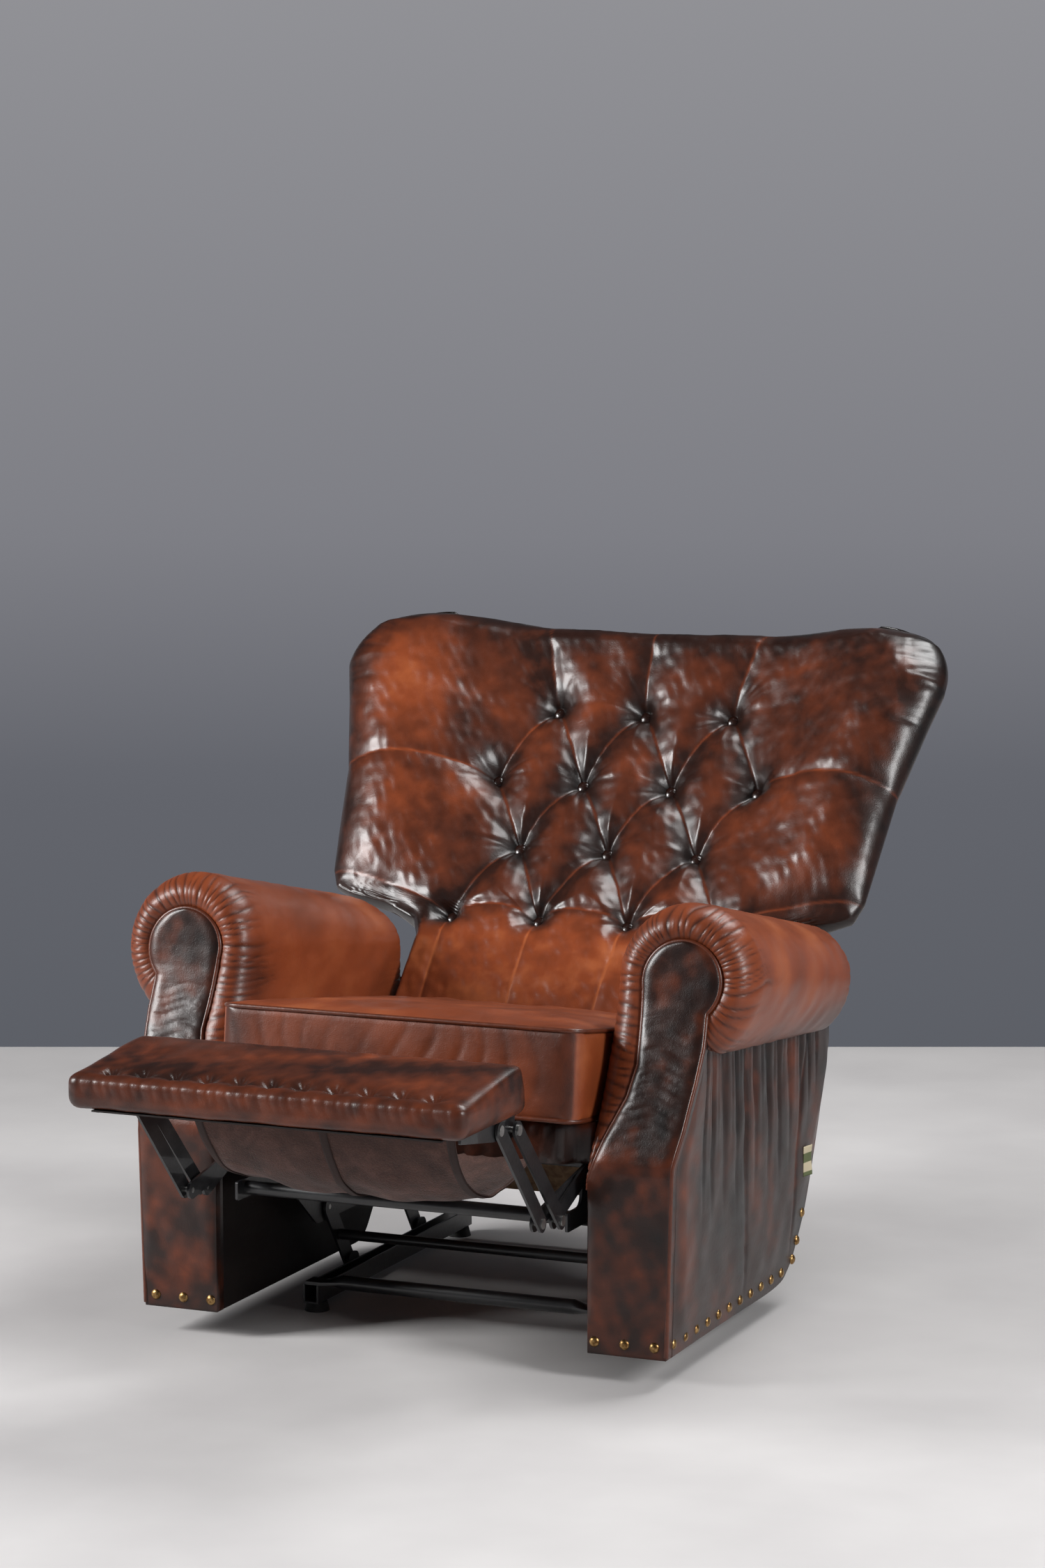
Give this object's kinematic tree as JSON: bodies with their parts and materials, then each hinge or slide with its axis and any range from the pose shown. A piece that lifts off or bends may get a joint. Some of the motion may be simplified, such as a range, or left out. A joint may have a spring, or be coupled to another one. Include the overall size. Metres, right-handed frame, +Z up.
{
  "type": "recliner armchair",
  "caption": "Rolled-arm leather recliner with a button-tufted flared back, a fold-out footrest and a steel glider base, shown fully opened",
  "frame": {"origin": "middle of the opened chair's floor area, on the floor", "axes": "+X to the right of somebody facing the chair, +Y from the footrest to the back, +Z up"},
  "size_m": [1.024, 1.5643, 0.9566],
  "materials": {
    "black_steel": "black satin paint over pressed steel",
    "zinc_pins": "zinc plated",
    "spring_steel": "oiled spring wire",
    "rubber": "matte black",
    "timber": "sanded beech",
    "tan_leather": "hand-rubbed glossy leather, rust brown",
    "dark_leather": "hand-rubbed glossy leather, dark mottled brown",
    "mottled_leather": "hand-rubbed glossy leather, mottled brown",
    "button_leather": "dark leather button",
    "suede": "flesh side of the hide, napped",
    "nail_brass": "antique brass",
    "label_cloth": "woven ribbon"
  },
  "bodies": {
    "base": {"base_rail_left": "black_steel", "base_rail_right": "black_steel", "front_cross_tube": "black_steel", "rear_cross_tube": "black_steel", "rubber_feet": "rubber", "rocker_ears": "black_steel", "rocker_foot_pins": "zinc_pins"},
    "front_rockers": {"front_rocker_left": "black_steel", "front_rocker_right": "black_steel", "front_rocker_tie": "black_steel"},
    "rear_rockers": {"rear_rocker_left": "black_steel", "rear_rocker_right": "black_steel", "rear_rocker_tie": "black_steel"},
    "chair_body": {"carriage_plate_left": "black_steel", "carriage_plate_right": "black_steel", "carriage_cross_tubes": "black_steel", "carriage_pins": "zinc_pins", "seat_frame": "timber", "seat_springs": "spring_steel", "seat_cushion": "tan_leather", "front_apron": "dark_leather", "rear_tie_board": "timber", "side_panel_left": "dark_leather", "side_panel_right": "dark_leather", "inner_panel_left": "dark_leather", "inner_panel_right": "dark_leather", "front_panel_left": "dark_leather", "front_panel_right": "dark_leather", "arm_roll_left": "tan_leather", "arm_roll_right": "tan_leather", "decorative_nails": "nail_brass", "woven_label": "label_cloth", "calf_flap": "suede"},
    "backrest": {"back_bracket_left": "black_steel", "back_bracket_right": "black_steel", "back_frame": "timber", "back_springs": "spring_steel", "back_outer_panel": "dark_leather", "back_pad": "mottled_leather", "wing_pad_left": "mottled_leather", "wing_pad_right": "mottled_leather", "back_buttons": "button_leather"},
    "lower_links": {"lower_link_left": "black_steel", "lower_link_right": "black_steel", "drive_tube": "black_steel", "knee_pins": "zinc_pins"},
    "upper_links": {"upper_link_left": "black_steel", "upper_link_right": "black_steel"},
    "footrest": {"footrest_bracket_left": "black_steel", "footrest_bracket_right": "black_steel", "footrest_board": "timber", "footrest_pad": "dark_leather", "board_pins": "zinc_pins"},
    "control_links": {"control_link_left": "black_steel", "control_link_right": "black_steel", "control_knee_pins": "zinc_pins"},
    "stay_links": {"stay_link_left": "black_steel", "stay_link_right": "black_steel"}
  },
  "joints": [
    {"name": "glide", "type": "hinge", "parent": "base", "child": "rear_rockers", "pos_m": [0, 0.2718, 0.038], "axis": [-1, 0, 0], "range_deg": [0, 71.51]},
    {"name": "front_glide", "type": "hinge", "parent": "base", "child": "front_rockers", "pos_m": [0, 0.0218, 0.038], "axis": [-1, 0, 0], "range_deg": [0, 71.56]},
    {"name": "level", "type": "hinge", "parent": "rear_rockers", "child": "chair_body", "pos_m": [0, 0.1998, 0.138], "axis": [-1, 0, 0], "range_deg": [-71.56, 0]},
    {"name": "recline", "type": "hinge", "parent": "chair_body", "child": "backrest", "pos_m": [0, 0.2438, 0.328], "axis": [1, 0, 0], "range_deg": [0, 20.05]},
    {"name": "footrest_fold", "type": "hinge", "parent": "chair_body", "child": "lower_links", "pos_m": [0, -0.2562, 0.29], "axis": [1, 0, 0], "range_deg": [0, 61.47], "deforming": ["calf_flap"]},
    {"name": "knee", "type": "hinge", "parent": "lower_links", "child": "upper_links", "pos_m": [0, -0.4742, 0.25], "axis": [1, 0, 0], "range_deg": [-100.53, 0]},
    {"name": "board_tilt", "type": "hinge", "parent": "upper_links", "child": "footrest", "pos_m": [0, -0.6182, 0.407], "axis": [1, 0, 0], "range_deg": [0, 129.06]},
    {"name": "control", "type": "hinge", "parent": "chair_body", "child": "control_links", "pos_m": [0, -0.2131, 0.3204], "axis": [1, 0, 0], "range_deg": [0, 45.02]},
    {"name": "control_knee", "type": "hinge", "parent": "control_links", "child": "stay_links", "pos_m": [0, -0.4178, 0.2429], "axis": [1, 0, 0], "range_deg": [-82.18, 0]}
  ],
  "couplings": [
    {"joint": "front_glide", "follows": "glide", "ratio": 1},
    {"joint": "level", "follows": "glide", "ratio": -1},
    {"joint": "recline", "follows": "glide", "ratio": 0.27968},
    {"joint": "knee", "follows": "footrest_fold", "ratio": -1.6347},
    {"joint": "board_tilt", "follows": "footrest_fold", "ratio": 2.0987},
    {"joint": "control", "follows": "footrest_fold", "ratio": 0.73159},
    {"joint": "control_knee", "follows": "footrest_fold", "ratio": -1.3361}
  ]
}
